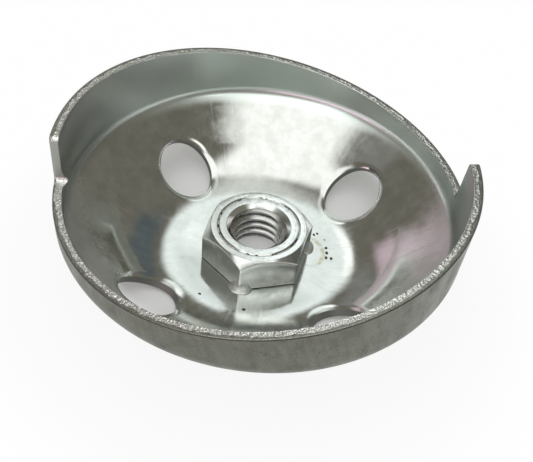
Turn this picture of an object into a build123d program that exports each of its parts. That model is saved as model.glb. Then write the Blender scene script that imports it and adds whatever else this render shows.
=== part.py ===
from build123d import *

import os
from math import asin, atan2, cos, degrees, hypot, pi, radians, sin, tan

# A starter pulley: a cup pressed from one steel sheet, whose rim is sheared into two ratchet
# teeth, and a hexagon nut projection-welded to the flat of its floor. The crank end screws in
# from below. Millimetres and degrees, +Z towards the open side, origin at the centre of the
# seat face underneath, the two tooth tips on the X axis.

# Pressed cup
sheet = 1.2  # thickness of the steel sheet
wall_diameter = 55.2  # outside, where the straight wall and the straight slope would cross
wall_flare = 0.6  # lean of the wall outwards from the axis
dish_slope = 44.3  # rise of the straight part of the floor
dish_radius = 13.6  # inside radius of the curve from the flat into the slope
bend_radius = 2.0  # inside radius of the bend from the slope into the wall
seat_margin = 3.0  # flat floor left around the nut's corners

# Ratchet rim
low_wall = 3.4  # wall from its foot up to the lowest run of the rim
step_drop = 6.6  # height of a tooth above the run that follows it
step_lean = 0.5  # how far the step's edge leans from tip to root, along the rim
low_run = 12.0  # turn over which the rim stays low after a step
high_run = 12.0  # turn over which the rim stays high before a tip
teeth = 2

# Floor holes, pierced in the flat blank and drawn long up the slope with it
hole_count = 4
hole_width = 8.0  # seen along the axis, where they are round
hole_circle = 36.0  # through the hole centres
hole_turn = 36.6  # first hole, measured from a tooth tip

# Weld nut
nut_flats = 14.0  # across flats
nut_height = 5.3  # from the nut's lower face to its top
nut_turn = 11.9  # a corner, measured from a tooth tip
thread_minor = 6.65  # crest diameter of the M8 x 1.25 internal thread
crown_width = 13.6  # diameter of the flat top inside the crown chamfer
crown_angle = 45.0  # fall of the crown chamfer
lead_in = 9.15  # diameter of the countersink in the top face
lead_in_below = 7.85  # diameter of the countersink in the pilot's end
groove_circle = 11.5  # centre line of the turned groove in the top face
groove_width = 0.5
groove_depth = 0.35
pilot_diameter = 10.5  # collar that centres the nut in the floor
pilot_clearance = 0.15  # between the collar and the floor's hole, all round
pilot_recess = 0.3  # from the seat face up to the collar's end
weld_gap = 0.12  # gap left under the nut by its squashed projections
pad_count = 3
pad_diameter = 3.4  # squashed weld projection
pad_height = 0.7
pad_inset = 0.7  # from a corner of the nut in to the middle of its projection

# Sizes that follow
corner_radius = nut_flats / 2 / cos(radians(30))
floor_bore = pilot_diameter + 2 * pilot_clearance
seat_radius = corner_radius + seat_margin
slope_start = seat_radius + (dish_radius + sheet) * tan(radians(dish_slope / 2))
foot_radius = wall_diameter / 2
foot_height = (foot_radius - slope_start) * tan(radians(dish_slope))
low_height = foot_height + low_wall
tip_height = low_height + step_drop
trim_margin = 2 * sheet
blank_height = tip_height + trim_margin
blank_radius = foot_radius + (blank_height - foot_height) * tan(radians(wall_flare))
trim_inside = foot_radius - bend_radius - 2 * sheet
trim_outside = blank_radius + trim_margin
tooth_turn = 360 / teeth
step_turn = degrees(step_lean / foot_radius)
ramp_spans = 24


def dish_slope_at(radius):
    """Slope of the floor: none on the seat, growing along the curve, then steady."""
    along_curve = min(max((radius - seat_radius) / dish_radius, 0), 1)
    return min(degrees(asin(along_curve)), dish_slope)


def dish_height_at(radius):
    """Height of the floor's upper face."""
    slope = radians(dish_slope_at(radius))
    straight = radius - seat_radius - dish_radius * sin(slope)
    return sheet + dish_radius * (1 - cos(slope)) + straight * tan(slope)


def rim_height(turn):
    """Height of the rim at an angle past a tooth tip: low, then a smooth rise to the next tip."""
    rise_turn = tooth_turn - step_turn - low_run - high_run
    share = min(max((turn - step_turn - low_run) / rise_turn, 0), 1)
    return low_height + step_drop * (1 - cos(pi * share)) / 2


def on_rim(radius, turn, height):
    """A point at an angle past a tooth tip."""
    return (radius * cos(radians(turn)), radius * sin(radians(turn)), height)


def ramp_points(radius):
    """The rim from the root of a step to the next tooth tip, carried to a radius."""
    turns = [step_turn + (tooth_turn - step_turn) * i / ramp_spans for i in range(ramp_spans + 1)]
    return [on_rim(radius, turn, rim_height(turn)) for turn in turns]


def step_points(radius):
    """The edge of a step from its tip to its root, carried to a radius."""
    return [on_rim(radius, 0, tip_height), on_rim(radius, step_turn, low_height)]


# Waste above one tooth: everything over the step's edge and over the ramp that follows
with BuildLine() as step_inside:
    Line(*step_points(trim_inside))
with BuildLine() as step_outside:
    Line(*step_points(trim_outside))
with BuildLine() as ramp_inside:
    Spline(*ramp_points(trim_inside))
with BuildLine() as ramp_outside:
    Spline(*ramp_points(trim_outside))

with BuildPart() as rim_waste:
    step_face = Face.make_surface_from_curves(step_inside.edge(), step_outside.edge())
    ramp_face = Face.make_surface_from_curves(ramp_inside.edge(), ramp_outside.edge())
    extrude([step_face, ramp_face], amount=step_drop + 2 * trim_margin, dir=(0, 0, 1))

# Slug of one floor hole, square to the line from its lowest to its highest point on the floor
hole_radius = hole_circle / 2
hole_bottom = dish_height_at(hole_radius - hole_width / 2)
hole_top = dish_height_at(hole_radius + hole_width / 2)
hole_length = hypot(hole_width, hole_top - hole_bottom)
hole_slope = atan2(hole_top - hole_bottom, hole_width)
hole_plane = Plane(
    origin=(hole_radius, 0, (hole_bottom + hole_top) / 2),
    x_dir=(cos(hole_slope), 0, sin(hole_slope)),
    z_dir=(-sin(hole_slope), 0, cos(hole_slope)),
)

with BuildPart() as hole_slug:
    with BuildSketch(hole_plane):
        Ellipse(hole_length / 2, hole_width / 2)
    extrude(amount=hole_length / 2, both=True)

# Pressed cup: the section of the sheet, turned, then trimmed and pierced
with BuildPart() as pulley_cup:
    with BuildSketch(Plane.XZ):
        with BuildLine():
            FilletPolyline(
                (floor_bore / 2, 0),
                (slope_start, 0),
                (foot_radius, foot_height),
                (blank_radius, blank_height),
                radius=[dish_radius + sheet, bend_radius + sheet],
            )
            offset(amount=sheet, side=Side.LEFT)
        make_face()
    revolve(axis=Axis.Z)
    with PolarLocations(0, teeth):
        add(rim_waste.part, mode=Mode.SUBTRACT)
    with PolarLocations(0, hole_count, start_angle=hole_turn):
        add(hole_slug.part, mode=Mode.SUBTRACT)

# Weld nut: a hexagon with a chamfered crown, a pilot collar in the floor's hole, three squashed
# projections on the floor, a bore with two countersinks and a turned groove in the top
nut_base = sheet + weld_gap
nut_top = nut_base + nut_height
crown_drop = (corner_radius - crown_width / 2) * tan(radians(crown_angle))
bore_radius = thread_minor / 2
groove_radius = groove_circle / 2

with BuildPart() as hub_nut:
    with BuildSketch(Plane.XY.offset(nut_base)):
        RegularPolygon(corner_radius, 6, rotation=nut_turn)
    extrude(amount=nut_height)
    with BuildSketch(Plane.XZ):
        with BuildLine():
            Polyline(
                (0, nut_base),
                (corner_radius, nut_base),
                (corner_radius, nut_top - crown_drop),
                (crown_width / 2, nut_top),
                (0, nut_top),
                close=True,
            )
        make_face()
    revolve(axis=Axis.Z, mode=Mode.INTERSECT)
    with BuildSketch(Plane.XY.offset(pilot_recess)):
        Circle(pilot_diameter / 2)
    extrude(amount=nut_base - pilot_recess)
    with BuildSketch(Plane.XY.offset(sheet)):
        with PolarLocations(corner_radius - pad_inset, pad_count, start_angle=nut_turn):
            Circle(pad_diameter / 2)
    extrude(amount=pad_height)
    with BuildSketch(Plane.XZ):
        with BuildLine():
            Polyline(
                (0, pilot_recess),
                (lead_in_below / 2, pilot_recess),
                (bore_radius, pilot_recess + lead_in_below / 2 - bore_radius),
                (bore_radius, nut_top - lead_in / 2 + bore_radius),
                (lead_in / 2, nut_top),
                (0, nut_top),
                close=True,
            )
        make_face()
        with BuildLine():
            Polyline(
                (groove_radius - groove_width / 2, nut_top),
                (groove_radius, nut_top - groove_depth),
                (groove_radius + groove_width / 2, nut_top),
                close=True,
            )
        make_face()
    revolve(axis=Axis.Z, mode=Mode.SUBTRACT)

pulley_cup.part.label = "pulley_cup"
hub_nut.part.label = "hub_nut"

os.makedirs("parts", exist_ok=True)
export_step(pulley_cup.part, "parts/pulley_cup.step")
export_step(hub_nut.part, "parts/hub_nut.step")

size = (pulley_cup.part + hub_nut.part).bounding_box().size
print(f"overall {size.X:.2f} x {size.Y:.2f} x {size.Z:.2f}, tip {tip_height:.2f}, low {low_height:.2f}")
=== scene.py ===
# %% [markdown]
# # A starter pulley in bright zinc
# The object is a small cup pressed from one steel sheet, with a hexagon nut welded to its floor.
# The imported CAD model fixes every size. This lesson keeps that frame and builds the visible skin
# around it: the drawn sheet with its sheared rim, the nut with a real thread, and the weld.

from math import asin, atan2, cos, degrees, hypot, pi, radians, sin, sqrt, tan

import bmesh
import bpy
import numpy as np
from mathutils import Matrix, Vector, noise


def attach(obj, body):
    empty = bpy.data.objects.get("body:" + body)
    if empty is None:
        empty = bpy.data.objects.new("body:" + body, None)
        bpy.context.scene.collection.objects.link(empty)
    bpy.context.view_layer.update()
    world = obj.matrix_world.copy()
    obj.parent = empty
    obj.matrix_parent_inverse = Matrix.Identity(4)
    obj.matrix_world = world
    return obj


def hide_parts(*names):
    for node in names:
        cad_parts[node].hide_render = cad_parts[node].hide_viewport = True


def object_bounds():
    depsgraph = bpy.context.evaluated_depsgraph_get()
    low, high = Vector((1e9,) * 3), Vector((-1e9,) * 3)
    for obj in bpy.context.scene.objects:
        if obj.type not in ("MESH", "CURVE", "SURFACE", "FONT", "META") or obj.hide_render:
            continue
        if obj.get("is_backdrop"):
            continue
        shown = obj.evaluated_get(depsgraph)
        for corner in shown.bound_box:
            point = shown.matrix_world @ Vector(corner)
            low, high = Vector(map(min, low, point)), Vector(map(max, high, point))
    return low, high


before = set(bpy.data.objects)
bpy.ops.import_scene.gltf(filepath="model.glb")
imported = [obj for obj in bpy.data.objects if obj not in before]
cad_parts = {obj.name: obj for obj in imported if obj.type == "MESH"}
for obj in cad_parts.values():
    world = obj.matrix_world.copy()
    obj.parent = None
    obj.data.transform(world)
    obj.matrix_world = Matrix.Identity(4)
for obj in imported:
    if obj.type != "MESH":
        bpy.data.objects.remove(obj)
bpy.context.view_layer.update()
MM = 0.001

# %% [markdown]
# ## Sizes
# The solids were made from these driving sizes, in millimetres and degrees. The skin uses the
# same ones, so that it lies on the solids and not beside them.

# %% Sizes of the pressed cup and of the nut
sheet = 1.2
corner_radius = 14.0 / 2 / cos(radians(30))
seat_radius = corner_radius + 3.0
dish_radius = 13.6
dish_slope = radians(44.3)
bend_radius = 2.0
floor_bore = 5.4
foot_radius = 55.2 / 2
wall_flare = radians(0.6)
slope_start = seat_radius + (dish_radius + sheet) * tan(dish_slope / 2)
foot_height = (foot_radius - slope_start) * tan(dish_slope)
low_height = foot_height + 3.4
step_drop = 6.6
tip_height = low_height + step_drop
step_turn = degrees(0.5 / foot_radius)
flat_run = 12.0
hole_circle, hole_width, hole_turn, hole_count = 18.0, 8.0, 36.6, 4
nut_base, nut_top, nut_turn = sheet + 0.12, sheet + 0.12 + 5.3, 11.9
print(f"foot {foot_height:.2f}, low rim {low_height:.2f}, tooth tip {tip_height:.2f} mm")

# %% [markdown]
# ## Camera
# The camera stands where the photograph was taken from: about 47 degrees above the table and
# close, so the near rim is larger than the far one. It leans a few degrees, as a hand does.

# %% Camera
view_height = radians(47.103)
view_turn = radians(-5.268)
view_roll = radians(6.552)
view_distance = 114.19
focal_pixels, image_width = 776.053, 533
centre_right, centre_down = -11.082, 26.02

forward = Vector((0, cos(view_height), -sin(view_height)))
turn = Matrix.Rotation(view_turn, 3, "Z")
forward = turn @ forward
right = turn @ Vector((1, 0, 0))
up = right.cross(forward)
leaned_right = cos(view_roll) * right + sin(view_roll) * up
leaned_up = cos(view_roll) * up - sin(view_roll) * right

camera_data = bpy.data.cameras.new("photo_camera")
camera_data.sensor_width = 36
camera_data.lens = focal_pixels * camera_data.sensor_width / image_width
camera_data.shift_x = -centre_right / image_width
camera_data.shift_y = centre_down / image_width
camera_data.clip_start = 0.01
camera = bpy.data.objects.new("photo_camera", camera_data)
bpy.context.scene.collection.objects.link(camera)
axes = Matrix((leaned_right, leaned_up, -forward)).transposed()
camera.matrix_world = Matrix.Translation(-forward * view_distance * MM) @ axes.to_4x4()
bpy.context.scene.camera = camera
print(f"camera {view_distance:.0f} mm away, lens {camera_data.lens:.1f} mm")

# %% [markdown]
# ## The section of the sheet
# Seen in section the floor is flat in the middle, curves up into a straight slope, and bends
# into the wall. Every point of the upper face gets its normal, and the lower face is the same
# line one sheet thickness away. A section line that is turned round the axis is exact, where a
# subdivided block would drift from the solid.


# %% Section of the sheet
def spread(start, end, steps):
    """Values from start to end, without the end."""
    return [start + (end - start) * i / steps for i in range(steps)]


slope_normal = (-sin(dish_slope), cos(dish_slope))
wall_normal = (-cos(wall_flare), sin(wall_flare))
normals_meet = 1 + slope_normal[0] * wall_normal[0] + slope_normal[1] * wall_normal[1]
outer_bend = bend_radius + sheet
bend_centre = (
    foot_radius + outer_bend * (slope_normal[0] + wall_normal[0]) / normals_meet,
    foot_height + outer_bend * (slope_normal[1] + wall_normal[1]) / normals_meet,
)


def sheet_section():
    """Points of the upper face from the floor's bore to the foot of the wall: radius, height, slope."""
    points = [(r, sheet, 0.0) for r in spread(floor_bore, seat_radius, 6)]
    for slope in spread(0.0, dish_slope, 18):
        points.append((seat_radius + dish_radius * sin(slope), sheet + dish_radius * (1 - cos(slope)), slope))
    curve_end = (seat_radius + dish_radius * sin(dish_slope), sheet + dish_radius * (1 - cos(dish_slope)))
    bend_start = (
        bend_centre[0] + bend_radius * sin(dish_slope),
        bend_centre[1] - bend_radius * cos(dish_slope),
    )
    for share in spread(0.0, 1.0, 5):
        r = curve_end[0] + (bend_start[0] - curve_end[0]) * share
        z = curve_end[1] + (bend_start[1] - curve_end[1]) * share
        points.append((r, z, dish_slope))
    for slope in spread(dish_slope, pi / 2 - wall_flare, 10) + [pi / 2 - wall_flare]:
        points.append((bend_centre[0] + bend_radius * sin(slope), bend_centre[1] - bend_radius * cos(slope), slope))
    return points


def floor_height(radius, lower):
    """Height of the floor's upper or lower face at a radius, with arrays allowed."""
    curve = dish_radius + (sheet if lower else 0)
    slope = np.minimum(np.arcsin(np.clip((radius - seat_radius) / curve, 0, 1)), dish_slope)
    straight = radius - seat_radius - curve * np.sin(slope)
    return (0 if lower else sheet) + curve * (1 - np.cos(slope)) + straight * np.tan(slope)


section = sheet_section()
print(f"{len(section)} points in the section, wall starts at radius {section[-1][0]:.2f} mm")

# %% [markdown]
# ## The path of the rim
# The rim is cut after drawing: twice round the cup it stays low, swings up in an S to a tooth tip
# and drops in a steep step. Unrolled, one tooth is a flat curve, so it is drawn there, its two
# corners are rounded, and it is divided into equal lengths.

# %% Path of the rim, unrolled
rim_columns, floor_columns = 1440, 360
tip_rounding, root_rounding = 0.8, 0.35


def rim_height(angle):
    """Height of the rim at an angle past a tooth tip, in degrees."""
    share = (angle - step_turn - flat_run) / (180 - step_turn - 2 * flat_run)
    return low_height + step_drop * (1 - cos(pi * min(max(share, 0), 1))) / 2


def rounded(points, roundings, steps):
    """A line through points with an arc at each corner that has a rounding."""
    line = []
    for i, point in enumerate(points):
        size = roundings.get(i, 0)
        if not size:
            line.append(Vector(point))
            continue
        here = Vector(point)
        back = (Vector(points[i - 1]) - here).normalized()
        ahead = (Vector(points[i + 1]) - here).normalized()
        half = back.angle(ahead) / 2
        middle = here + (back + ahead).normalized() * size / sin(half)
        start = here + back * size / tan(half) - middle
        end = here + ahead * size / tan(half) - middle
        sweep = start.angle_signed(end)
        for k in range(steps + 1):
            line.append(middle + Matrix.Rotation(-sweep * k / steps, 2) @ start)
    return line


def unrolled(angle, height):
    return (radians(angle) * foot_radius, height)


rise = [unrolled(a, rim_height(a)) for a in np.linspace(90, 177.4, 120)]
corner_points = [unrolled(180, tip_height), unrolled(180 + step_turn, low_height)]
rise_on = [unrolled(180 + a, rim_height(a)) for a in np.linspace(step_turn + 2.0, 90, 120)]
tooth = rounded(rise + corner_points + rise_on, {120: tip_rounding, 121: root_rounding}, 10)
lengths = np.concatenate([[0], np.cumsum([(b - a).length for a, b in zip(tooth, tooth[1:])])])
stations = np.linspace(0, lengths[-1], rim_columns // 2 + 1)[:-1]
tooth_x = np.interp(stations, lengths, [p.x for p in tooth])
tooth_z = np.interp(stations, lengths, [p.y for p in tooth])
half_round = pi * foot_radius
rim_x = np.concatenate([tooth_x, tooth_x + half_round])
rim_z = np.concatenate([tooth_z, tooth_z])
ahead_x = np.roll(rim_x, -1)
ahead_x[-1] += 2 * half_round
behind_x = np.roll(rim_x, 1)
behind_x[0] -= 2 * half_round
along = np.stack([ahead_x - behind_x, np.roll(rim_z, -1) - np.roll(rim_z, 1)], 1)
along /= np.linalg.norm(along, axis=1, keepdims=True)
rim_out = np.stack([-along[:, 1], along[:, 0]], 1)
root_station = int(np.argmin(np.hypot(tooth_x - corner_points[1][0], tooth_z - low_height)))
root_angle = 180 + step_turn
first_angle = hole_turn % 1 + round(root_angle - root_station * 360 / rim_columns - hole_turn % 1)
print(f"rim divided every {lengths[-1] * 2 / rim_columns:.3f} mm")

# %% [markdown]
# ## Skin of the floor, with its holes
# The floor is a polar grid. Around each hole a window of the grid is left out and refilled with
# rings that run from the window to the hole, so the lines flow round it. The punch pulled the
# upper face down around each hole, so the last rings dip before they drop into it.


# %% A skin collects points and faces
class Skin:
    """Points in millimetres and faces with a finish, gathered piece by piece."""

    def __init__(self):
        self.points, self.faces, self.finish, self.flat = [], [], [], []

    def ring(self, points):
        start = len(self.points)
        self.points.extend(tuple(p) for p in points)
        return np.arange(start, start + len(points))

    def face(self, corners, finish, flat=False):
        self.faces.append(tuple(int(c) for c in corners))
        self.finish.append(finish)
        self.flat.append(flat)

    def band(self, low, high, finish, flat=False, skip=()):
        """Quads between two closed rings of the same length."""
        n = len(low)
        for i in range(n):
            if i not in skip:
                self.face((low[i], low[(i + 1) % n], high[(i + 1) % n], high[i]), finish, flat)

    def widen(self, few, many, finish):
        """Faces from a ring to one with a whole number of times as many points."""
        n, times = len(few), len(many) // len(few)
        for i in range(n):
            top = [many[(i * times + k) % len(many)] for k in range(times, -1, -1)]
            self.face((few[i], few[(i + 1) % n], *top), finish)

    def make(self, name, finishes, sharp):
        """A closed mesh object at the origin, in metres, with its faces turned outwards."""
        used = sorted({c for face in self.faces for c in face})
        place = {old: new for new, old in enumerate(used)}
        mesh = bpy.data.meshes.new(name)
        faces = [tuple(place[c] for c in face) for face in self.faces]
        mesh.from_pydata([tuple(v * MM for v in self.points[i]) for i in used], [], faces)
        mesh.polygons.foreach_set("material_index", self.finish)
        mesh.polygons.foreach_set("use_smooth", [not f for f in self.flat])
        for material in finishes:
            mesh.materials.append(material)
        solid = bmesh.new()
        solid.from_mesh(mesh)
        bmesh.ops.recalc_face_normals(solid, faces=solid.faces)
        open_edges = sum(len(e.link_faces) != 2 for e in solid.edges)
        volume = solid.calc_volume() / MM**3
        solid.to_mesh(mesh)
        solid.free()
        mesh.set_sharp_from_angle(angle=sharp)
        mesh.validate()
        piece = bpy.data.objects.new(name, mesh)
        bpy.context.scene.collection.objects.link(piece)
        print(f"{name}: {len(faces)} faces, {open_edges} open edges, {volume:.0f} mm3")
        return piece


def round_axis(radius, height, angles):
    angles = np.radians(angles)
    return np.stack([radius * np.cos(angles), radius * np.sin(angles), np.broadcast_to(height, angles.shape)], 1)


# %% Floor grid with a window for each hole
INSIDE, OUTSIDE, SHEARED = 0, 1, 2
cup = Skin()
floor_angles = hole_turn % 1 + np.arange(floor_columns)
window_half = 20
window_rows = [j for j, (r, z, s) in enumerate(section) if 12.2 < r < 24.2]
first_row, last_row = window_rows[0], window_rows[-1]
hole_columns = [int(hole_turn - hole_turn % 1) + 90 * k for k in range(hole_count)]
in_window = {(c + d) % floor_columns for c in hole_columns for d in range(-window_half, window_half)}

upper_rows, lower_rows = [], []
for r, z, slope in section:
    upper_rows.append(cup.ring(round_axis(r, z, floor_angles)))
    lower_rows.append(cup.ring(round_axis(r + sheet * sin(slope), z - sheet * cos(slope), floor_angles)))
for j in range(len(section) - 1):
    skip = in_window if first_row <= j < last_row else ()
    cup.band(upper_rows[j], upper_rows[j + 1], INSIDE, skip=skip)
    cup.band(lower_rows[j], lower_rows[j + 1], OUTSIDE, skip=skip)
bore_middle = cup.ring(round_axis(floor_bore - 0.04, sheet / 2, floor_angles))
cup.band(upper_rows[0], bore_middle, SHEARED)
cup.band(bore_middle, lower_rows[0], SHEARED)

# %% Rings from each window to its hole
hole_low = float(floor_height(hole_circle - hole_width / 2, False))
hole_high = float(floor_height(hole_circle + hole_width / 2, False))
hole_slope = atan2(hole_high - hole_low, hole_width)
half_length, half_width = hypot(hole_width, hole_high - hole_low) / 2, hole_width / 2
up_slope = np.array([cos(hole_slope), 0, sin(hole_slope)])
punch = np.array([-sin(hole_slope), 0, cos(hole_slope)])
hole_middle = np.array([hole_circle, 0, (hole_low + hole_high) / 2])
dip_width, dip_depth = 0.95, 0.2


def hole_ring(around, grow, lower):
    """The hole's outline grown outwards, found on one face of the floor along the punch."""
    base = hole_middle + np.outer((half_length + grow) * np.cos(around), up_slope)
    base[:, 1] += (half_width + grow) * np.sin(around)
    near, far = np.full(len(around), -5.0), np.full(len(around), 5.0)
    for _ in range(50):
        middle = (near + far) / 2
        point = base + middle[:, None] * punch
        above = point[:, 2] > floor_height(np.hypot(point[:, 0], point[:, 1]), lower)
        far, near = np.where(above, middle, far), np.where(above, near, middle)
    return base + near[:, None] * punch


def turned(points, angle):
    c, s = cos(radians(angle)), sin(radians(angle))
    return points @ np.array([[c, s, 0], [-s, c, 0], [0, 0, 1]])


for column in hole_columns:
    angle = hole_turn % 1 + column
    left, far_side = column - window_half, column + window_half
    border = [(c, first_row) for c in range(left, far_side)]
    border += [(far_side, j) for j in range(first_row, last_row)]
    border += [(c, last_row) for c in range(far_side, left, -1)]
    border += [(left, j) for j in range(last_row, first_row, -1)]
    edges = {}
    for lower, rows in ((False, upper_rows), (True, lower_rows)):
        edge = np.array([rows[j][c % floor_columns] for c, j in border])
        start = turned(np.array([cup.points[i] for i in edge]), -angle)
        around = np.arctan2(start[:, 1] / half_width, (start[:, 0] - hole_circle) / half_length)
        end = hole_ring(around, 0.02 if lower else dip_width, lower)
        for share in (0.25, 0.48, 0.68, 0.84, 0.94):
            middle = start + (end - start) * share
            middle[:, 2] = floor_height(np.hypot(middle[:, 0], middle[:, 1]), lower)
            ring = cup.ring(turned(middle, angle))
            cup.band(edge, ring, OUTSIDE if lower else INSIDE)
            edge = ring
        if lower:
            ring = cup.ring(turned(end, angle))
            cup.band(edge, ring, OUTSIDE)
        else:
            for part in range(7):
                inwards = part / 6
                middle = hole_ring(around, dip_width * (1 - inwards), False) - dip_depth * inwards**2 * punch
                ring = cup.ring(turned(middle, angle))
                cup.band(edge, ring, INSIDE)
                edge = ring
        edges[lower] = ring
    cup.band(edges[False], edges[True], SHEARED)
print(f"{hole_count} holes, {2 * half_length:.2f} x {hole_width:.2f} mm on the slope")

# %% [markdown]
# ## Wall and sheared rim
# The wall joins the bend to the rim path. Its lines lean towards the steps, which keeps the
# faces even there. The cut edge shows what a press does to steel: the punch first rolls and
# burnishes the outer part, then the inner part tears, so that half is broken and sparkles.

# %% Wall rows
inner_foot = section[-1]
outer_foot = (inner_foot[0] + sheet * cos(wall_flare), inner_foot[1] - sheet * sin(wall_flare))
column_angles = first_angle + np.arange(rim_columns) * 360 / rim_columns
column_x = np.radians(column_angles) * foot_radius
inner_rounding, outer_rounding = 0.09, 0.2


def on_wall(x, z, depth):
    """Points of the wall from unrolled places, at a share of the sheet from inside to outside."""
    radius = inner_foot[0] + (z - inner_foot[1]) * tan(wall_flare) + depth * sheet / cos(wall_flare)
    return np.stack([radius * np.cos(x / foot_radius), radius * np.sin(x / foot_radius), z], 1)


burr_places = {root_station + rim_columns // 2: 0.2, root_station: 0.6}


def burr_at(spread_mm):
    """How far the torn burr at each step's root stands inwards, for every column."""
    push = np.zeros(rim_columns)
    for place, size in burr_places.items():
        away = np.hypot(rim_x - rim_x[place], rim_z - rim_z[place])
        push += size * np.exp(-((away / spread_mm) ** 2))
    return push


def pulled_in(points, push):
    """Points moved towards the axis."""
    radius = np.hypot(points[:, 0], points[:, 1])
    points = points.copy()
    points[:, :2] *= ((radius - push) / radius)[:, None]
    return points


shift = round((first_angle - floor_angles[0]))
top_rows = {}
for depth, rows, foot_z, edge_drop, finish in (
    (0.0, upper_rows, inner_foot[1], inner_rounding, INSIDE),
    (1.0, lower_rows, outer_foot[1], outer_rounding, OUTSIDE),
):
    top_x = rim_x - rim_out[:, 0] * edge_drop
    top_z = rim_z - rim_out[:, 1] * edge_drop
    few = np.roll(rows[-1], -shift)
    last = None
    for share in (0.4, 0.7, 0.9, 0.97, 1.0):
        x = column_x + (top_x - column_x) * share
        z = foot_z + (top_z - foot_z) * share
        points = on_wall(x, z, depth)
        if depth == 0:
            points = pulled_in(points, burr_at(0.85) * max(0, (share - 0.85) / 0.15) ** 1.5)
        ring = cup.ring(points)
        if last is None:
            cup.widen(few, ring, finish)
        else:
            cup.band(last, ring, finish)
        last = ring
    top_rows[depth] = last

# %% Sheared edge across the sheet
grain_coarse, grain_fine = 0.3, 0.2


def torn(points, size):
    """Smooth noise between 0 and 1 at the points, in lumps of a size in millimetres."""
    return np.array([0.5 + 0.5 * noise.noise(Vector(p) / size) for p in points])


profile = []
for k in range(1, 3):
    bend = pi / 2 * k / 3
    profile.append((inner_rounding * (1 - cos(bend)), inner_rounding * (1 - sin(bend)), 0.5))
land = sheet - inner_rounding - outer_rounding
for k in range(9):
    across = inner_rounding + land * k / 8
    profile.append((across, 0.0, float(np.interp(k / 8, [0, 0.1, 0.5, 0.66, 1], [0.8, 1, 1, 0.5, 0.15]))))
for k in range(1, 5):
    bend = pi / 2 * k / 5
    profile.append((sheet - outer_rounding * (1 - sin(bend)), outer_rounding * (1 - cos(bend)), 0.0))

upright = np.clip(rim_out[:, 1], 0.12, 1) ** 1.5
last, last_tear = top_rows[0.0], 0.5
for across, drop, tear in profile:
    place = on_wall(rim_x, rim_z, across / sheet)
    lumps = 0.6 * torn(place, grain_coarse) + 0.4 * torn(place + 31.7, grain_fine)
    pit = drop + tear * upright * (0.01 + 0.26 * np.clip(lumps - 0.3, 0, 1))
    points = on_wall(rim_x - rim_out[:, 0] * pit, rim_z - rim_out[:, 1] * pit, across / sheet)
    points = pulled_in(points, burr_at(0.8) * (1 - across / sheet) ** 0.8 * (0.7 + 0.6 * lumps))
    ring = cup.ring(points)
    cup.band(last, ring, SHEARED, flat=tear > 0.32 and last_tear > 0.32)
    last, last_tear = ring, tear
cup.band(last, top_rows[1.0], SHEARED)
print(f"sheared edge: {len(profile)} rows across {sheet} mm")

# %% [markdown]
# ## The nut
# A weld nut is a hexagon with a turned crown, so its upper edges are arcs on the flats. Each
# column of the mesh gets its own section with small arcs at the corners: a real edge is never
# sharp, and these arcs carry the thin highlights.

# %% Outline and section of the nut
flat_radius = 7.0
edge_round = 0.22
hexagon = [
    (corner_radius * cos(radians(nut_turn + 60 * k)), corner_radius * sin(radians(nut_turn + 60 * k)))
    for k in range(7)
]
outline = []
for k in range(6):
    a, b = Vector(hexagon[k]), Vector(hexagon[k + 1])
    setback = edge_round * tan(radians(30))
    middle = a * (1 - edge_round / cos(radians(30)) / corner_radius)
    for i in range(6):
        swing = radians(nut_turn + 60 * k - 30 + 60 * i / 6)
        outline.append(middle + Vector((cos(swing), sin(swing))) * edge_round)
    side = (b - a).normalized()
    start, end = a + side * setback, b - side * setback
    outline.extend(start + (end - start) * i / 26 for i in range(26))

thread_major, thread_minor, thread_pitch = 4.0, 3.325, 1.25
lead_in_radius = 9.15 / 2
groove_radius, groove_half, groove_depth = 11.5 / 2, 0.2, 0.2
crown_radius = 13.6 / 2
pilot_radius, pilot_end = 10.5 / 2, 0.3


def nut_section(outer):
    """Section of the nut at a column whose outside is at a radius, as a closed line."""
    lead_depth = lead_in_radius - thread_major
    crown_edge = nut_top - (outer - crown_radius)
    corners = [
        ((pilot_radius, nut_base), 0.06),
        ((pilot_radius, pilot_end), 0.2),
        ((thread_major, pilot_end), 0.1),
        ((thread_major, nut_top - lead_depth), 0.05),
        ((lead_in_radius, nut_top), 0.12),
        ((groove_radius - groove_half, nut_top), 0.07),
        ((groove_radius, nut_top - groove_depth), 0.06),
        ((groove_radius + groove_half, nut_top), 0.07),
        ((crown_radius, nut_top), 0.14),
        ((outer, crown_edge), 0.14),
        ((outer, nut_base), 0.16),
    ]
    points = [c for c, _ in corners]
    closed = [points[-1]] + points + [points[0]]
    return rounded(closed, {i + 1: size for i, (_, size) in enumerate(corners)}, 4)[1:-1]


nut = Skin()
sections = [nut_section(p.length) for p in outline]
nut_rows = []
for row in range(len(sections[0])):
    ring = [
        (line[row].x * p.x / p.length, line[row].x * p.y / p.length, line[row].y)
        for line, p in zip(sections, outline)
    ]
    nut_rows.append(nut.ring(ring))
for low, high in zip(nut_rows, nut_rows[1:] + nut_rows[:1]):
    nut.band(low, high, 0)

# %% [markdown]
# ## Writing shaders as sums
# Every finish below is a small calculation: where a point lies on the part, how near an edge it
# is, how dull it is there. Dozens of Math nodes placed by hand hide that, so one class wraps a
# socket and lets Python's own operators add the nodes.


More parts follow.
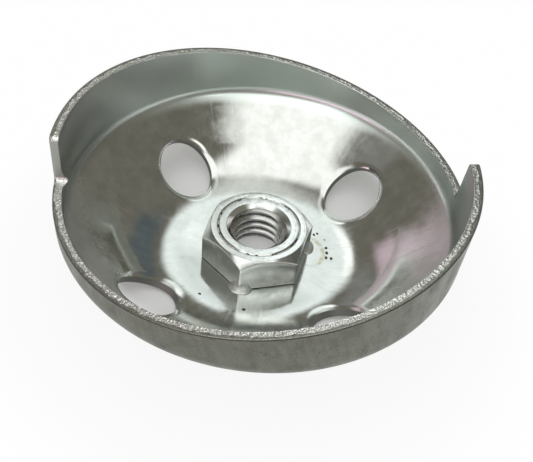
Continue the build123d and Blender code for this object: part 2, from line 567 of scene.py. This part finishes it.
# %% A socket that can be reckoned with
class Wire:
    """One output of a node. A sum on it adds a Math node to the same tree."""

    def __init__(self, tree, socket):
        self.tree, self.socket = tree, socket

    def out(self, name):
        """Another output of the same node."""
        return Wire(self.tree, self.socket.node.outputs[name])

    def math(self, operation, *values):
        return self.tree.node("ShaderNodeMath", {"operation": operation}, dict(enumerate(values)))

    def __add__(self, other):
        return self.math("ADD", self, other)

    def __radd__(self, other):
        return self.math("ADD", other, self)

    def __sub__(self, other):
        return self.math("SUBTRACT", self, other)

    def __rsub__(self, other):
        return self.math("SUBTRACT", other, self)

    def __mul__(self, other):
        return self.math("MULTIPLY", self, other)

    def __rmul__(self, other):
        return self.math("MULTIPLY", other, self)

    def __truediv__(self, other):
        return self.math("DIVIDE", self, other)

    def __rtruediv__(self, other):
        return self.math("DIVIDE", other, self)

    def __pow__(self, other):
        return self.math("POWER", self, other)


# %% A node tree that one method fills
class Tree:
    """A node tree for a material, for the world or for Geometry Nodes."""

    def __init__(self, tree):
        self.tree = tree

    def node(self, kind, settings=None, sockets=None, output=0):
        """Add a node: its settings first, then the values or wires of its sockets."""
        made = self.tree.nodes.new(kind)
        for name, value in (settings or {}).items():
            setattr(made, name, value)
        for name, value in (sockets or {}).items():
            self.feed(made.inputs[name], value)
        return Wire(self, made.outputs[output]) if len(made.outputs) else None

    def feed(self, socket, value):
        """Give a socket a wire, or a plain value."""
        if isinstance(value, Wire):
            self.tree.links.new(value.socket, socket)
        elif socket.type == "RGBA":
            socket.default_value = (*value, 1)
        else:
            socket.default_value = value

    def smooth(self, value, low, high):
        """0 at low, 1 at high, smooth between and steady beyond."""
        return self.node(
            "ShaderNodeMapRange",
            {"interpolation_type": "SMOOTHSTEP"},
            {"Value": value, "From Min": low, "From Max": high},
        )

    def split(self, vector):
        parts = self.node("ShaderNodeSeparateXYZ", None, {0: vector})
        return parts, parts.out(1), parts.out(2)

    def join(self, x, y, z):
        return self.node("ShaderNodeCombineXYZ", None, {0: x, 1: y, 2: z})

    def mix(self, share, first, second):
        """A colour between two."""
        return self.node("ShaderNodeMix", {"data_type": "RGBA"}, {0: share, 6: first, 7: second}, 2)

    def lumps(self, place, size, detail=2.0, harsh=0.5):
        """Soft noise between 0 and 1, in lumps of a size in millimetres."""
        return self.node(
            "ShaderNodeTexNoise", None, {"Vector": place, "Scale": 1 / size, "Detail": detail, "Roughness": harsh}
        )


# %% A finish knows where it lies on the part
class Finish(Tree):
    """A material with the place on the part in millimetres, its radius and its height."""

    def __init__(self, name):
        self.material = bpy.data.materials.new(name)
        self.material.use_nodes = True
        super().__init__(self.material.node_tree)
        self.shader = self.tree.nodes["Principled BSDF"]
        metres = self.node("ShaderNodeTexCoord", output="Object")
        self.place = self.node("ShaderNodeVectorMath", {"operation": "SCALE"}, {0: metres, "Scale": 1 / MM})
        self.x, self.y, self.z = self.split(self.place)
        self.radius = (self.x * self.x + self.y * self.y) ** 0.5

    def drawn(self, reach, stretch, slant=0.0):
        """A place that is stretched along the sheet's way through the die, with no seam round the axis."""
        swing = self.z * slant
        across, along = swing.math("COSINE", swing), swing.math("SINE", swing)
        round_x, round_y = self.x / self.radius, self.y / self.radius
        return self.join(
            (round_x * across - round_y * along) * reach,
            (round_x * along + round_y * across) * reach,
            (self.z + self.radius) * (1 / stretch),
        )

    def near(self, x, y):
        """Distance from an upright line at a place."""
        dx, dy = self.x - x, self.y - y
        return (dx * dx + dy * dy) ** 0.5

    def wear(self, colour, roughness, metallic=1.0, relief=None, depth=0.0):
        """Feed the shader. The relief runs from 0 to 1 and its depth is in millimetres."""
        self.feed(self.shader.inputs["Base Color"], colour)
        self.feed(self.shader.inputs["Roughness"], roughness)
        self.feed(self.shader.inputs["Metallic"], metallic)
        if relief is not None:
            bump = self.node("ShaderNodeBump", None, {"Height": relief, "Distance": depth * MM, "Strength": 1.0})
            self.feed(self.shader.inputs["Normal"], bump)
        print(f"{self.material.name}: {len(self.tree.nodes)} nodes")
        return self.material


# %% [markdown]
# ## Bright zinc inside the dish
# Inside, the zinc lies on sheet that the punch has polished. It is nearly a mirror, but the sheet
# is not quite even, so reflections wander a little and smear along the way the metal flowed. The
# wall is duller than the floor, and its colour is painted light and shade: lighter at the back and
# right, darker on the left and at the front. The seat in front of the nut has a painted shade.
# Beside the right-hand weld the heat left a thin brown arc.

# %% Zinc inside
f = Finish("zinc_inside")
# At the front the wall's colour reaches down over the bend, its painted shade included. There the bend also takes
# the wall's dullness and relief.
front_bend = f.smooth(f.y, -6.0, -14.0)
on_wall_share = f.smooth(f.radius + 0.03 * f.y + 1.4 * front_bend, 25.4, 26.5)
worn_front = f.smooth(f.radius - 0.35 * f.y, 20.5, 26.5)
waves = f.lumps(f.place, 5.0, 1.0)
flow = f.lumps(f.drawn(27, 9), 0.9, 3.0)
slanted_flow = f.lumps(f.drawn(27, 14, 0.05), 1.1, 3.0)
clouds = f.lumps(f.place, 2.2, 4.0, 0.6)
grain = f.lumps(f.place, 0.22, 2.0, 0.6)
stain_ring = 1 - f.smooth((f.near(6.4, 0.3) - 3.45).math("ABSOLUTE", f.near(6.4, 0.3) - 3.45), 0.05, 0.5)
stain = stain_ring * f.smooth(f.x, 7.6, 9.0) * f.smooth(f.lumps(f.place, 0.7, 3.0), 0.35, 0.6)
zinc = f.mix(f.smooth(clouds, 0.3, 0.7), (0.61, 0.62, 0.59), (0.72, 0.73, 0.71))
# Painted light and shade on the inside wall: lighter at the back and right, darker on the left, and darker still
# over the whole front.
wall_painted_light_shade = f.mix(f.smooth(f.x, -12.0, -26.0), (0.88, 0.96, 0.93), (0.46, 0.49, 0.475))
wall_painted_light_shade = f.mix(f.smooth(f.y, 3.0, -1.5), wall_painted_light_shade, (0.40, 0.43, 0.42))
zinc = f.mix(on_wall_share * 0.9, zinc, wall_painted_light_shade)
zinc = f.mix(f.smooth(grain, 0.62, 0.78) * (1 - on_wall_share) * 0.14, zinc, (0.33, 0.33, 0.31))
zinc = f.mix(stain * 0.6, zinc, (0.40, 0.31, 0.15))
# Painted shade: the seat in front of the nut, towards the left, is darkened in uneven patches.
seat_painted_shade = f.smooth(f.x * -0.45 - f.y * 0.9, 2.0, 6.0) * f.smooth(f.radius, 12.5, 10.5)
zinc = f.mix(seat_painted_shade * (0.6 + 0.4 * f.smooth(clouds, 0.3, 0.7)), zinc, (0.49, 0.505, 0.485))
dullness = (0.08 * f.smooth(clouds, 0.35, 0.75) + 0.1 * f.smooth(flow, 0.5, 0.8)) * (1 - on_wall_share) + 0.07
dullness = dullness + on_wall_share * (0.2 + 0.05 * slanted_flow) + (1 - on_wall_share) * worn_front * 0.24
relief = (waves + 0.16 * clouds + 0.09 * flow + 0.01 * grain) * (1 - 0.92 * on_wall_share)
zinc_inside = f.wear(zinc, dullness, relief=relief, depth=0.05)

# %% [markdown]
# ## Satin zinc outside
# The die dragged along the outside of the wall. That left fine upright scores and a satin grey,
# with small dark pits. The grey is painted far darker than the zinc itself: painted shade for the
# dim room and table it reflects. Scores are noise that is stretched up the wall: the coordinates
# round the axis stay fine and the one along the wall is divided by a large number.

# %% Zinc outside
f = Finish("zinc_outside")
scores = f.lumps(f.drawn(27, 12, 0.012), 0.13, 3.0, 0.6)
broad_scores = f.lumps(f.drawn(27, 5, 0.012), 0.7, 3.0)
patches = f.lumps(f.place, 3.0, 4.0, 0.6)
grit = f.lumps(f.place, 0.3, 3.0, 0.6)
pits = f.smooth(f.lumps(f.place, 0.42, 2.0), 0.67, 0.75) * f.smooth(patches, 0.42, 0.58)
# Painted shade: the base grey is far darker than the zinc. The scores, grit, patches and pits on it are real marks.
satin_and_painted_shade = f.mix(f.smooth(broad_scores, 0.3, 0.7), (0.160, 0.163, 0.133), (0.190, 0.194, 0.163))
satin_and_painted_shade = f.mix(f.smooth(scores, 0.45, 0.75) * 0.15, satin_and_painted_shade, (0.27, 0.274, 0.235))
satin_and_painted_shade = f.mix(f.smooth(grit, 0.48, 0.7) * 0.45, satin_and_painted_shade, (0.105, 0.105, 0.085))
satin_and_painted_shade = f.mix(f.smooth(patches, 0.5, 0.72) * 0.4, satin_and_painted_shade, (0.115, 0.115, 0.094))
satin_and_painted_shade = f.mix(pits * 0.75, satin_and_painted_shade, (0.055, 0.053, 0.045))
dullness = 0.34 + 0.12 * f.smooth(patches, 0.35, 0.7) + 0.25 * pits
zinc_outside = f.wear(satin_and_painted_shade, dullness, relief=0.6 * scores + 0.7 * grit - 0.5 * pits, depth=0.012)

# %% [markdown]
# ## Sheared edge
# Across the cut edge the finish changes: the torn inner part is bright and broken, the burnished
# outer part is smooth grey, and a fine dark line follows the rolled edge. The place across the
# sheet is known from the radius and the height, so no painting is needed.

# %% Sheared steel
f = Finish("sheared_steel")
wall_line = inner_foot[0] - inner_foot[1] * tan(wall_flare)
across = (f.radius - f.z * tan(wall_flare) - wall_line) / sheet
crumbs = f.lumps(f.place, 0.15, 2.0, 0.6)
chips = f.lumps(f.place, 0.25, 1.0, 0.5)
edge_patches = f.lumps(f.place, 1.1, 3.0)
fresh = f.smooth(f.y, -6.0, -3.5) * f.smooth(f.x, 0.0, -20.0) * f.smooth(f.y, 0.6, 0.0)
burnished = f.smooth(across + 0.7 * (edge_patches - 0.5) - 0.18 * fresh, 0.52, 0.66)
rolled = f.smooth(across, 0.92, 0.985)
on_step = f.smooth(f.y.math("ABSOLUTE", f.y), 0.95, 0.7) * f.smooth(f.z, low_height + 0.2, low_height + 0.6)
on_step = on_step * f.smooth(f.z, tip_height - 0.3, tip_height - 0.6)
plated = f.smooth(f.z, 12.6, 12.0)
plain_cut = on_step.math("MAXIMUM", on_step, plated)
burnished = burnished.math("MAXIMUM", burnished, plain_cut)
steel = f.mix(f.smooth(crumbs + 0.5 * fresh, 0.40, 0.52), (0.62, 0.62, 0.58), (1.0, 1.0, 0.97))
grey_steel = f.mix(f.smooth(crumbs, 0.35, 0.65), (0.22, 0.22, 0.19), (0.42, 0.42, 0.38))
grey_steel = f.mix(plain_cut, grey_steel, (0.36, 0.37, 0.34))
grey_steel = f.mix(plated, grey_steel, (0.15, 0.155, 0.14))
steel = f.mix(burnished, steel, grey_steel)
steel = f.mix(rolled * 0.92, steel, (0.05, 0.049, 0.042))
broken = (0.3 * crumbs + chips) * (1 - 0.75 * burnished) * (1 - 0.8 * plain_cut)
sheared_steel = f.wear(steel, 0.24 + 0.12 * burnished, relief=broken, depth=0.08)

# %% [markdown]
# ## The cup
# Now the gathered points become a mesh. The normals are recalculated on the closed shell, and
# only edges above 38 degrees stay sharp.

# %% The cup's mesh
cup_piece = cup.make("pulley_cup_skin", [zinc_inside, zinc_outside, sheared_steel], radians(38))

# %% [markdown]
# ## Zinc on the nut
# The nut is turned on top and pressed on its sides. Fine rings follow the tool on the top face,
# and the groove has kept dark residue from the welding. The top is painted lighter on the right and
# darker on the left, as light falls there.

# %% Zinc on the nut
f = Finish("nut_zinc")
on_top = f.smooth(f.z, nut_top - 0.1, nut_top - 0.02)
rings = f.node("ShaderNodeTexNoise", {"noise_dimensions": "1D"}, {"W": f.radius * 7, "Scale": 1.0, "Detail": 2.0})
smudges = f.lumps(f.place, 1.3, 4.0, 0.6)
grain = f.lumps(f.place, 0.2, 2.0)
off_groove = (f.radius - groove_radius).math("ABSOLUTE", f.radius - groove_radius)
in_groove = (1 - f.smooth(off_groove, 0.1, 0.26)) * (1 - f.smooth(f.z, nut_top - 0.13, nut_top - 0.01))
in_groove = in_groove * f.smooth(f.z, nut_top - 0.5, nut_top - 0.4)
residue = in_groove * (0.12 + 0.88 * f.smooth(f.lumps(f.place, 0.9, 3.0), 0.54, 0.66))
# Painted light: the share of light zinc rises towards +x, so the top is lighter on the right and darker on the
# left. The smudges under it are real.
zinc = f.mix(f.smooth(smudges + 0.03 * f.x, 0.34, 0.66), (0.56, 0.565, 0.54), (0.88, 0.9, 0.88))
zinc = f.mix(1 - on_top, zinc, (0.84, 0.865, 0.845))
zinc = f.mix(f.smooth(grain, 0.55, 0.78) * 0.16, zinc, (0.35, 0.35, 0.33))
zinc = f.mix(residue, zinc, (0.06, 0.056, 0.045))
dullness = 0.11 + 0.1 * f.smooth(smudges, 0.35, 0.7) + 0.3 * residue + 0.05 * (1 - on_top)
zinc_nut = f.wear(zinc, dullness, relief=0.25 * rings * on_top + 0.5 * smudges + 0.03 * grain, depth=0.03)
nut_piece = nut.make("hub_nut_skin", [zinc_nut], radians(38))

# %% [markdown]
# ## The thread
# The thread is a ridge that climbs the bore. Geometry Nodes sweep one trapezoid along a spiral,
# with the pitch, the depth and the widths as named inputs. At both ends the ridge shrinks into
# the countersinks, which is how a tap's first turn looks.


# %% Helpers for Geometry Nodes
def new_tree(name, inputs):
    """An empty geometry tree with named inputs, and the node that brings them in."""
    group = bpy.data.node_groups.new(name, "GeometryNodeTree")
    group.interface.new_socket("Geometry", in_out="INPUT", socket_type="NodeSocketGeometry")
    for title, kind in inputs.items():
        group.interface.new_socket(title, in_out="INPUT", socket_type=f"NodeSocket{kind}")
    group.interface.new_socket("Geometry", in_out="OUTPUT", socket_type="NodeSocketGeometry")
    tree = Tree(group)
    return tree, tree.node("NodeGroupInput")


def close_tree(tree, geometry, material):
    """End a tree: real geometry with a material."""
    real = tree.node("GeometryNodeRealizeInstances", None, {"Geometry": geometry})
    done = tree.node("GeometryNodeSetMaterial", None, {"Geometry": real, "Material": material})
    tree.node("NodeGroupOutput", None, {"Geometry": done})


def grown(name, tree, values, points=()):
    """Run a tree once on some points, and keep the result as a plain mesh object."""
    seed_mesh = bpy.data.meshes.new(name + "_points")
    seed_mesh.from_pydata([tuple(v * MM for v in p) for p in points], [], [])
    seed = bpy.data.objects.new(name + "_points", seed_mesh)
    bpy.context.scene.collection.objects.link(seed)
    modifier = seed.modifiers.new("grow", "NODES")
    modifier.node_group = tree.tree
    for item in tree.tree.interface.items_tree:
        if item.in_out == "INPUT" and item.name in values:
            modifier[item.identifier] = values[item.name]
    ready = seed.evaluated_get(bpy.context.evaluated_depsgraph_get())
    mesh = bpy.data.meshes.new_from_object(ready)
    seed.modifiers.remove(modifier)
    bpy.data.objects.remove(seed)
    mesh.name = name
    mesh.set_sharp_from_angle(angle=radians(40))
    piece = bpy.data.objects.new(name, mesh)
    bpy.context.scene.collection.objects.link(piece)
    print(f"{name}: {len(mesh.polygons)} faces")
    return piece


# %% Thread tree
thread_inputs = {
    "Root Radius": "Float",
    "Depth": "Float",
    "Root Width": "Float",
    "Crest Width": "Float",
    "Pitch": "Float",
    "Low End": "Float",
    "High End": "Float",
    "Material": "Material",
}
tree, given = new_tree("thread_ridge", thread_inputs)
root, depth, pitch = given.out("Root Radius"), given.out("Depth"), given.out("Pitch")
low_end, high_end = given.out("Low End"), given.out("High End")
spiral = tree.node(
    "GeometryNodeCurveSpiral",
    None,
    {
        "Resolution": 96,
        "Rotations": (high_end - low_end) / pitch,
        "Start Radius": root,
        "End Radius": root,
        "Height": high_end - low_end,
        "Reverse": True,
    },
)
raised = tree.node(
    "GeometryNodeTransform", None, {"Geometry": spiral, "Translation": tree.join(0.0, 0.0, low_end)}
)
upright_line = tree.node("GeometryNodeSetCurveNormal", {"mode": "Z_UP"}, {"Curve": raised})
half_root, half_crest = given.out("Root Width") * 0.5, given.out("Crest Width") * 0.5
ridge = tree.node(
    "GeometryNodeCurvePrimitiveQuadrilateral",
    {"mode": "POINTS"},
    {
        "Point 1": tree.join(0.0, half_root * -1, 0.0),
        "Point 2": tree.join(0.0, half_root, 0.0),
        "Point 3": tree.join(depth * -1, half_crest, 0.0),
        "Point 4": tree.join(depth * -1, half_crest * -1, 0.0),
    },
)
height = tree.split(tree.node("GeometryNodeInputPosition"))[2]
from_ends = (height - low_end).math("MINIMUM", height - low_end, high_end - height)
run_out = tree.node("ShaderNodeMapRange", None, {"Value": from_ends, "From Max": depth, "To Min": 0.04})
thread_sweep = tree.node(
    "GeometryNodeCurveToMesh",
    None,
    {"Curve": upright_line, "Profile Curve": ridge, "Scale": run_out, "Fill Caps": True},
)
close_tree(tree, thread_sweep, given.out("Material"))

# %% Thread
f = Finish("thread_zinc")
smudges = f.lumps(f.place, 0.8, 3.0)
# Painted shade: the ridge darkens towards its root, where it meets the bore.
thread_root_painted_shade = f.smooth(f.radius, thread_minor, thread_major)
zinc = f.mix(f.smooth(smudges, 0.3, 0.7), (0.55, 0.555, 0.54), (0.72, 0.725, 0.71))
zinc = f.mix(thread_root_painted_shade * 0.65, zinc, (0.22, 0.215, 0.2))
thread_zinc = f.wear(zinc, 0.2 + 0.12 * smudges, relief=smudges, depth=0.02)
thread_piece = grown(
    "hub_thread",
    tree,
    {
        "Root Radius": (thread_major + 0.03) * MM,
        "Depth": (thread_major + 0.03 - thread_minor) * MM,
        "Root Width": 1.12 * MM,
        "Crest Width": 0.3 * MM,
        "Pitch": thread_pitch * MM,
        "Low End": 0.36 * MM,
        "High End": 6.06 * MM,
        "Material": thread_zinc,
    },
)
spans = [hypot(v.co.x, v.co.y) / MM for v in thread_piece.data.vertices]
print(f"thread between radius {min(spans):.2f} and {max(spans):.2f} mm")

# %% [markdown]
# ## Weld beads and burnt specks
# Three projections under the nut melted and were squashed out at its corners. Small burnt drops
# lie on the floor and in the groove. Both repeat one small lump on listed points, so one tree
# makes both: it turns, sizes and dents every lump by a fixed seed.

# %% Lump tree
lump_inputs = {
    "Width": "Float",
    "Height": "Float",
    "Spread": "Float",
    "Dent": "Float",
    "Dent Size": "Float",
    "Detail": "Int",
    "Seed": "Int",
    "Material": "Material",
}
tree, given = new_tree("squashed_lumps", lump_inputs)
ball = tree.node("GeometryNodeMeshIcoSphere", None, {"Radius": 1.0, "Subdivisions": given.out("Detail")})
uneven = tree.node(
    "FunctionNodeRandomValue",
    {"data_type": "FLOAT"},
    {2: 1 - given.out("Spread"), 3: 1 + given.out("Spread"), "Seed": given.out("Seed")},
    1,
)
place_x, place_y, place_z = tree.split(tree.node("GeometryNodeInputPosition"))
lean = place_y.math("ARCTAN2", place_y, place_x) + pi / 2
half_width = given.out("Width") * 0.5 * uneven
lump_size = tree.join(half_width, half_width * 0.78, given.out("Height") * uneven)
lumps = tree.node(
    "GeometryNodeInstanceOnPoints",
    None,
    {"Points": given, "Instance": ball, "Rotation": tree.join(0.0, 0.0, lean), "Scale": lump_size},
)
real_lumps = tree.node("GeometryNodeRealizeInstances", None, {"Geometry": lumps})
dents = tree.node(
    "ShaderNodeTexNoise",
    None,
    {
        "Vector": tree.node("GeometryNodeInputPosition"),
        "Scale": 1 / given.out("Dent Size").math("MAXIMUM", given.out("Dent Size"), 1e-5),
        "Detail": 2.0,
    },
)
direction = tree.node("GeometryNodeInputNormal")
offset = tree.node(
    "ShaderNodeVectorMath", {"operation": "SCALE"}, {0: direction, "Scale": (dents - 0.5) * given.out("Dent")}
)
dented = tree.node("GeometryNodeSetPosition", None, {"Geometry": real_lumps, "Offset": offset})
smooth_lumps = tree.node("GeometryNodeSetShadeSmooth", None, {"Geometry": dented})
close_tree(tree, smooth_lumps, given.out("Material"))
lump_tree = tree

# %% Weld beads
f = Finish("weld_bead")
clouds = f.lumps(f.place, 0.6, 3.0)
silver = f.mix(f.smooth(clouds, 0.35, 0.65), (0.62, 0.62, 0.59), (0.86, 0.87, 0.84))
heat = 1 - f.smooth(f.near(7.6, 1.6), 1.2, 2.6)
silver = f.mix(heat * f.smooth(clouds, 0.3, 0.6) * 0.5, silver, (0.24, 0.21, 0.15))
weld_bead = f.wear(silver, 0.3 + 0.2 * clouds, relief=clouds, depth=0.05)
bead_circle = corner_radius - 0.7
bead_turns = [radians(nut_turn + 120 * k) for k in range(3)]
bead_piece = grown(
    "weld_beads",
    lump_tree,
    {
        "Width": 3.3 * MM,
        "Height": 0.23 * MM,
        "Spread": 0.04,
        "Dent": 0.09 * MM,
        "Dent Size": 1.3 * MM,
        "Detail": 5,
        "Seed": 4,
        "Material": weld_bead,
    },
    [(bead_circle * cos(a), bead_circle * sin(a), sheet + 0.04) for a in bead_turns],
)

# %% Burnt specks
f = Finish("burnt_speck")
clouds = f.lumps(f.place, 0.25, 2.0)
burnt = f.mix(f.smooth(clouds, 0.35, 0.65), (0.035, 0.028, 0.017), (0.16, 0.125, 0.075))
burnt_speck = f.wear(burnt, 0.45 + 0.3 * clouds, 0.0, relief=clouds, depth=0.05)
floor_specks = [(9.24, 4.28), (10.29, 3.01), (10.40, 1.37), (10.43, 0.37), (10.26, -0.65), (10.99, -0.72)]
floor_specks += [(-7.90, -8.51), (-3.31, -11.41), (-1.78, -10.95), (8.75, 4.0)]
speck_points = [(x, y, float(floor_height(hypot(x, y), False))) for x, y in floor_specks]
groove_turns = [-177, -162, -120, -106, -71, -66, -39, -24, 41, 47, 78, 120]
speck_points += [
    (groove_radius * cos(radians(a)), groove_radius * sin(radians(a)), nut_top - 0.16) for a in groove_turns
]
speck_piece = grown(
    "burnt_specks",
    lump_tree,
    {
        "Width": 0.4 * MM,
        "Height": 0.07 * MM,
        "Spread": 0.6,
        "Dent": 0.3 * MM,
        "Dent Size": 0.3 * MM,
        "Detail": 3,
        "Seed": 11,
        "Material": burnt_speck,
    },
    speck_points,
)

# %% [markdown]
# ## Table and light
# Polished zinc shows the room more than itself, so the light decides the look. A wide soft box
# hangs above the camera, the room behind is dim and warm, and a pale window stands opposite. The
# world is reckoned from the direction of each ray, in degrees from straight up. The table is
# plain paper: far out it is simply white, near the part it takes the part's shadow.

# %% Table
table_mesh = bpy.data.meshes.new("table")
reach, drop = 3.0, -2e-5
table_mesh.from_pydata(
    [(-reach, -reach, drop), (reach, -reach, drop), (reach, reach, drop), (-reach, reach, drop)], [], [(0, 1, 2, 3)]
)
table = bpy.data.objects.new("table", table_mesh)
bpy.context.scene.collection.objects.link(table)
f = Finish("table_paper")
seen = f.node("ShaderNodeLightPath")
plain_view = seen.math("MAXIMUM", seen, seen.out("Is Glossy Ray"))
plain_view = plain_view.math("MAXIMUM", plain_view, seen.out("Is Transmission Ray"))
far_out = 0.2 + 0.71 * f.smooth(f.near(-0.7, 8.0), 22.5, 27.0) + 0.08 * f.smooth(f.near(0.0, 0.0), 28.0, 45.0)
paper = f.node("ShaderNodeBsdfDiffuse", None, {"Color": (0.9, 0.9, 0.9)})
white = f.node("ShaderNodeEmission", None, {"Color": (1.0, 1.0, 1.0), "Strength": 1.0})
both = f.node("ShaderNodeMixShader", None, {0: plain_view * far_out, 1: paper, 2: white})
f.tree.nodes.remove(f.shader)
f.feed(f.tree.nodes["Material Output"].inputs["Surface"], both)
table_mesh.materials.append(f.material)
table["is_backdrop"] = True

# %% Light
world = bpy.data.worlds.new("studio")
world.use_nodes = True
bpy.context.scene.world = world
sky = Tree(world.node_tree)
ray_x, ray_y, ray_z = sky.split(sky.node("ShaderNodeTexCoord", output="Generated"))
off_zenith = ray_z.math("ARCCOSINE", ray_z) * degrees(1)
flat_share = off_zenith / ((ray_x * ray_x + ray_y * ray_y) ** 0.5 + 1e-6)
east, north = ray_x * flat_share, ray_y * flat_share


def card(colour, panel, sideways, west_end, east_end, south_end, north_end, soft):
    """Hang a soft-edged panel in the sky, between ends in degrees from straight up."""
    inside = sky.smooth(sideways, west_end - soft, west_end + soft)
    inside = inside * sky.smooth(sideways, east_end + soft, east_end - soft)
    inside = inside * sky.smooth(north, south_end - soft, south_end + soft)
    inside = inside * sky.smooth(north, north_end + soft, north_end - soft)
    return sky.mix(inside, colour, panel)


bearing_share = (ray_x * -0.64 + ray_y * -0.77) / ((ray_x * ray_x + ray_y * ray_y) ** 0.5 + 1e-6)
light = (0.188, 0.18, 0.15)
light = card(light, (0.70, 0.56, 0.62), east, -50, -29, 44, 74, 5)
light = card(light, (0.26, 0.26, 0.25), east, -24, -9, 50, 70, 5)
light = card(light, (0.115, 0.14, 0.15), east, 21, 42, 32, 62, 6)
light = card(light, (0.28, 0.28, 0.26), east, -56, -40, -14, 6, 6)
light = card(light, (0.45, 0.45, 0.43), east, -12, 4, 14, 42, 5)
light = card(light, (0.85, 0.88, 0.84), east, -3, 12, 8, 36, 5)
light = card(light, (1.18, 1.27, 1.26), east, -7, 13, 34, 50, 4)
light = card(light, (1.6, 1.66, 1.62), east, -10, -2, 36, 47, 2.5)
light = card(light, (1.7, 1.76, 1.7), east, 14, 34, -48, -34, 5)
light = card(light, (1.4, 1.42, 1.39), east - 0.2 * north, -36, 21, -47, 10, 6)
light = sky.mix(sky.smooth(off_zenith, 82, 87), light, (1.0, 1.0, 1.0))
lilac_glow = sky.smooth(off_zenith, 72, 79) * sky.smooth(bearing_share, 0.7, 0.88) * sky.smooth(off_zenith, 90, 88)
light = sky.mix(lilac_glow, light, (1.66, 1.2, 1.45))
background = world.node_tree.nodes["Background"]
sky.feed(background.inputs["Color"], light)
bpy.context.scene.view_settings.view_transform = "Standard"
print(f"sky of {len(world.node_tree.nodes)} nodes")

# %% [markdown]
# ## Hand over to the frame
# Every piece is tied to the one body of the part, and the skins stand for the two solids, which are hidden.

# %% Pieces and size
for piece, slot in (
    (cup_piece, "zinc_sheet"),
    (nut_piece, "zinc_nut"),
    (thread_piece, "zinc_nut"),
    (bead_piece, "zinc_nut"),
    (speck_piece, "zinc_nut"),
):
    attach(piece, "root")
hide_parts("pulley_cup")
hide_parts("hub_nut")

low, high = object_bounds()
print("visual box, mm:", [round((b - a) / MM, 2) for a, b in zip(low, high)])
